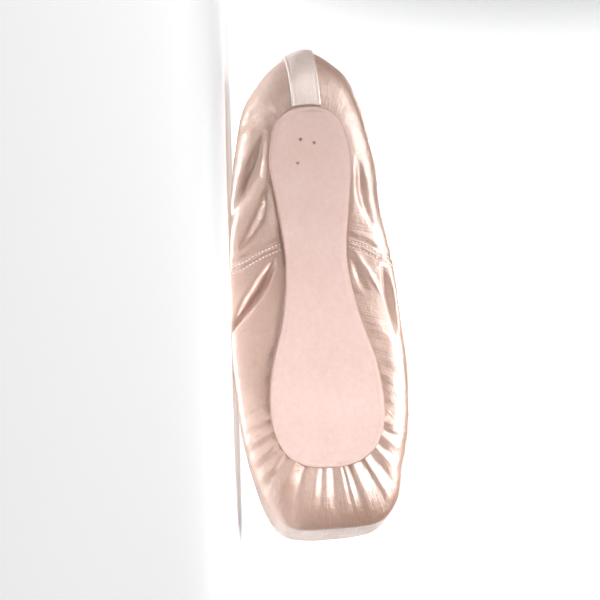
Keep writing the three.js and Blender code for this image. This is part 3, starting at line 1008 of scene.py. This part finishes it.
def make_stage():
    """A pale floor that curves up into a backdrop. The paper glows round the shoe, painted light as from a
    light table, and stays unlit next to the shoe, where the darker floor is a painted shadow.
    """
    turns = np.linspace(0, np.pi / 2, 13)
    profile = [(-REACH, 0.0), (0.5, 0.0)]
    for a in turns:
        profile.append((COVE_START + COVE_RADIUS * math.sin(a), COVE_RADIUS * (1 - math.cos(a))))
    profile.append((COVE_START + COVE_RADIUS, REACH))
    vertices = [(x, y, z) for y, z in profile for x in (-REACH, REACH)]
    faces = [[2 * i, 2 * i + 1, 2 * i + 3, 2 * i + 2] for i in range(len(profile) - 1)]
    mesh = bpy.data.meshes.new("studio_sweep")
    mesh.from_pydata(vertices, [], faces)
    mesh.polygons.foreach_set("use_smooth", [True] * len(mesh.polygons))
    sweep = bpy.data.objects.new("studio_sweep", mesh)
    bpy.context.scene.collection.objects.link(sweep)
    sweep.visible_shadow = False  # lit from below too, as a light table is
    f = Finish("glowing_studio_paper")
    place_on_floor = f.node("ShaderNodeSeparateXYZ")
    f.link(f.object, place_on_floor.inputs[0])
    aside = f.node("ShaderNodeMath", operation="ABSOLUTE")
    f.link(place_on_floor.outputs["X"], aside.inputs[0])

    def share(source, start, end):
        part = f.node("ShaderNodeMapRange")
        part.inputs["From Min"].default_value = start
        part.inputs["From Max"].default_value = end
        f.link(source, part.inputs["Value"])
        return part.outputs["Result"]

    near, far = GLOW[0][0], GLOW[-1][0]
    ramp = f.node("ShaderNodeValToRGB")
    ramp.color_ramp.interpolation = "EASE"
    while len(ramp.color_ramp.elements) < len(GLOW):
        ramp.color_ramp.elements.new(0.5)
    for element, (y, strength) in zip(ramp.color_ramp.elements, GLOW):
        element.position = (y - near) / (far - near)
        element.color = (strength, strength, strength, 1)
    f.link(share(place_on_floor.outputs["Y"], near, far), ramp.inputs[0])
    glow = ramp.outputs[0]
    sideways = share(aside.outputs[0], *GLOW_ENDS_ASIDE)
    upward = share(place_on_floor.outputs["Z"], *GLOW_ENDS_UP)
    for fade in (sideways, upward):
        both = f.node("ShaderNodeMath", operation="MULTIPLY")
        f.link(glow, both.inputs[0])
        f.link(fade, both.inputs[1])
        glow = both.outputs[0]
    # painted light: the paper emits light itself, none next to the shoe, where its darkness is a painted
    # shadow
    f.link(glow, f.shader.inputs["Emission Strength"])
    f.set(Base_Color=(0.9, 0.9, 0.905), Roughness=0.9, Specular_IOR_Level=0.1)
    f.set(Emission_Color=(1.0, 1.0, 1.0))
    mesh.materials.append(f.material)


def make_light(name, position, aim, size, power, colour=(1.0, 1.0, 1.0), beam=180):
    data = bpy.data.lights.new(name, "AREA")
    data.shape = "RECTANGLE"
    data.size, data.size_y = size
    data.energy = power
    data.color = colour
    data.spread = math.radians(beam)
    light = bpy.data.objects.new(name, data)
    light.location = position
    light.rotation_euler = (Vector(aim) - Vector(position)).to_track_quat("-Z", "Y").to_euler()
    bpy.context.scene.collection.objects.link(light)


REACH = 3.0
COVE_START, COVE_RADIUS = 1.2, 0.6
# The glow of the floor, painted light from paper that is no lamp: its strength at places y, from the camera
# toward the backdrop, and where it ends to either side and upward. It is zero next to the shoe, so that the
# floor there is darker, a painted shadow.
GLOW = ((-0.9, 0.42), (-0.4, 0.28), (-0.12, 0.0), (0.03, 0.0), (0.12, 0.85))
GLOW_ENDS_ASIDE = (0.6, 0.42)
GLOW_ENDS_UP = (0.8, 0.5)
make_stage()

make_light("key", (-0.65, -0.85, 0.5), (0, 0, 0.04), (0.3, 0.3), 1.9)
make_light("pleat_light", (0.14, -0.3, 0.62), (0.11, 0, 0.04), (0.14, 0.3), 0.41, beam=50)
make_light("right", (-0.35, -0.25, 0.9), (-0.03, 0, 0.04), (0.5, 0.25), 5.0)
make_light("back", (-0.1, 1.1, 0.62), (0, 0, 0.0), (0.8, 0.25), 8)
make_light("under", (-0.04, 0.03, -0.5), (-0.04, 0, 0.03), (0.28, 0.08), 2.8, (0.8, 0.95, 1.0))

world = bpy.data.worlds.new("studio")
world.use_nodes = True
world.node_tree.nodes["Background"].inputs["Color"].default_value = (0.97, 0.98, 1.0, 1)
world.node_tree.nodes["Background"].inputs["Strength"].default_value = 0.06
bpy.context.scene.world = world
bpy.context.scene.view_settings.view_transform = "Standard"

# The camera looks straight at the sole, level with the shoe, rolled so that the heel is up
CAMERA_AZIMUTH = math.radians(-3.65)
CAMERA_ROLL = math.radians(1.79)
CAMERA_DISTANCE = 1.10
CAMERA_LENS = 126.7
CAMERA_AIM = (0.0, 0.0, 0.045)
AIM_RIGHT, AIM_UP = -0.0096, -0.0027


def make_camera():
    forward = Vector((math.sin(CAMERA_AZIMUTH), math.cos(CAMERA_AZIMUTH), 0))
    heel = Vector((-1, 0, 0))
    heel = (heel - forward * heel.dot(forward)).normalized()
    right = forward.cross(heel)
    up = heel * math.cos(CAMERA_ROLL) + right * math.sin(CAMERA_ROLL)
    right = forward.cross(up)
    eye = Vector(CAMERA_AIM) - forward * CAMERA_DISTANCE
    aim = Vector(CAMERA_AIM) + right * AIM_RIGHT + up * AIM_UP
    back = (eye - aim).normalized()
    right = up.cross(back).normalized()
    up = back.cross(right)
    data = bpy.data.cameras.new("camera")
    data.lens = CAMERA_LENS
    camera = bpy.data.objects.new("camera", data)
    camera.matrix_world = Matrix((right, up, back)).transposed().to_4x4()
    camera.location = eye
    bpy.context.scene.collection.objects.link(camera)
    bpy.context.scene.camera = camera


make_camera()
